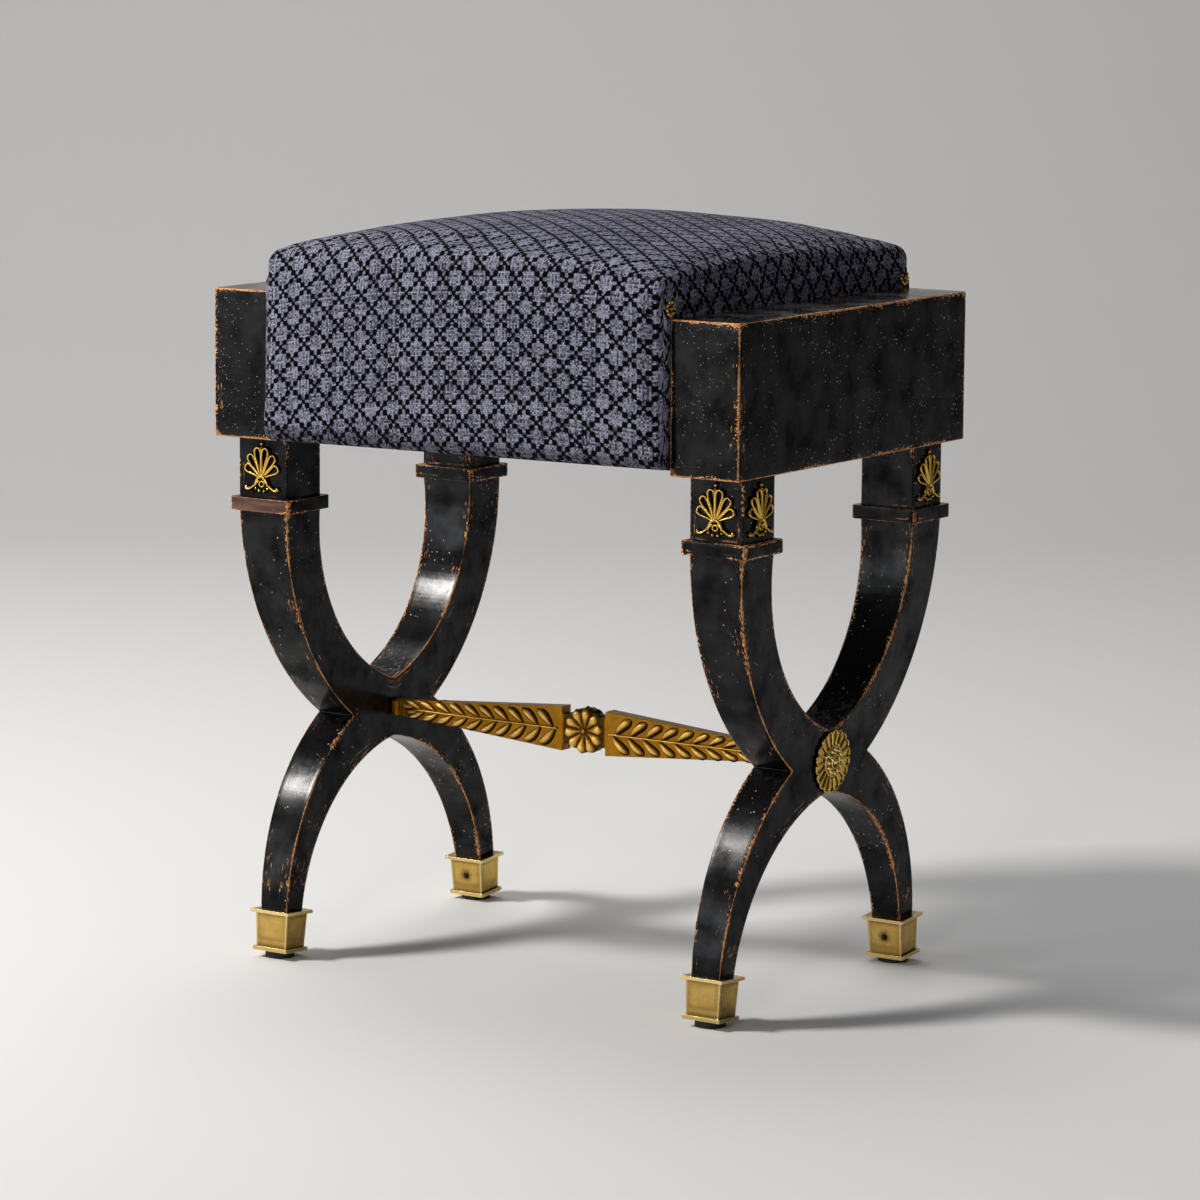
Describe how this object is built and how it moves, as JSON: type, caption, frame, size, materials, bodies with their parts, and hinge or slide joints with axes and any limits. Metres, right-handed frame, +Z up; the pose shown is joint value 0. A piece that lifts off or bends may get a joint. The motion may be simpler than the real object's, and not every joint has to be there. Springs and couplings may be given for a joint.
{
  "type": "x frame stool",
  "caption": "Rectangular stool on two curved X-shaped side frames with thick end rails, a crowned patterned seat, a slim tapering stretcher, and gilt mounts and shoes.",
  "frame": {"origin": "on the floor, under the middle of the seat", "axes": "+Z up, +X along the stretcher from one side frame to the other, -Y towards the front of the seat"},
  "size_m": [0.408, 0.302, 0.4973],
  "materials": {
    "ebonised_wood": "black-stained hardwood under rubbed shellac, worn brown at the arrises",
    "plain_wood": "planed and unfinished",
    "shoe_brass": "cast, filed and lightly tarnished",
    "mount_brass": "cast and gilt lacquered, dark in the recesses",
    "gilding": "carved wood, gilded and toned",
    "black_rubber": "moulded, dull",
    "steel": "plain screw",
    "trellis_cloth": "woven with a stepped diamond trellis",
    "webbing": "jute webbing",
    "hessian": "plain hessian",
    "stuffing": "hair and cotton wadding",
    "black_cloth": "thin black lining"
  },
  "bodies": {
    "root": {"right_end_rail": "ebonised_wood", "right_stretcher_screw": "steel", "right_rosette": "mount_brass", "right_x_member_front_head_back_foot": "ebonised_wood", "right_front_collar": "ebonised_wood", "right_front_shoe": "shoe_brass", "right_front_shoe_pin": "shoe_brass", "right_front_glide": "black_rubber", "right_front_head_end_palmette": "mount_brass", "right_front_head_front_palmette": "mount_brass", "right_front_daisy_nail": "mount_brass", "right_x_member_back_head_front_foot": "ebonised_wood", "right_back_collar": "ebonised_wood", "right_back_shoe": "shoe_brass", "right_back_shoe_pin": "shoe_brass", "right_back_glide": "black_rubber", "right_back_head_end_palmette": "mount_brass", "right_back_head_back_palmette": "mount_brass", "right_back_daisy_nail": "mount_brass", "left_end_rail": "ebonised_wood", "left_stretcher_screw": "steel", "left_rosette": "mount_brass", "left_x_member_back_head_front_foot": "ebonised_wood", "left_back_collar": "ebonised_wood", "left_back_shoe": "shoe_brass", "left_back_shoe_pin": "shoe_brass", "left_back_glide": "black_rubber", "left_back_head_end_palmette": "mount_brass", "left_back_head_back_palmette": "mount_brass", "left_back_daisy_nail": "mount_brass", "left_x_member_front_head_back_foot": "ebonised_wood", "left_front_collar": "ebonised_wood", "left_front_shoe": "shoe_brass", "left_front_shoe_pin": "shoe_brass", "left_front_glide": "black_rubber", "left_front_head_end_palmette": "mount_brass", "left_front_head_front_palmette": "mount_brass", "left_front_daisy_nail": "mount_brass", "stretcher": "gilding", "front_seat_rail": "plain_wood", "back_seat_rail": "plain_wood", "right_seat_batten": "plain_wood", "right_front_corner_block": "plain_wood", "right_back_corner_block": "plain_wood", "left_seat_batten": "plain_wood", "left_back_corner_block": "plain_wood", "left_front_corner_block": "plain_wood", "lengthwise_strap_1": "webbing", "lengthwise_strap_2": "webbing", "lengthwise_strap_3": "webbing", "crosswise_strap_1": "webbing", "crosswise_strap_2": "webbing", "crosswise_strap_3": "webbing", "crosswise_strap_4": "webbing", "base_cloth": "hessian", "seat_pad": "stuffing", "dust_cover": "black_cloth", "seat_cover": "trellis_cloth"}
  },
  "joints": []
}
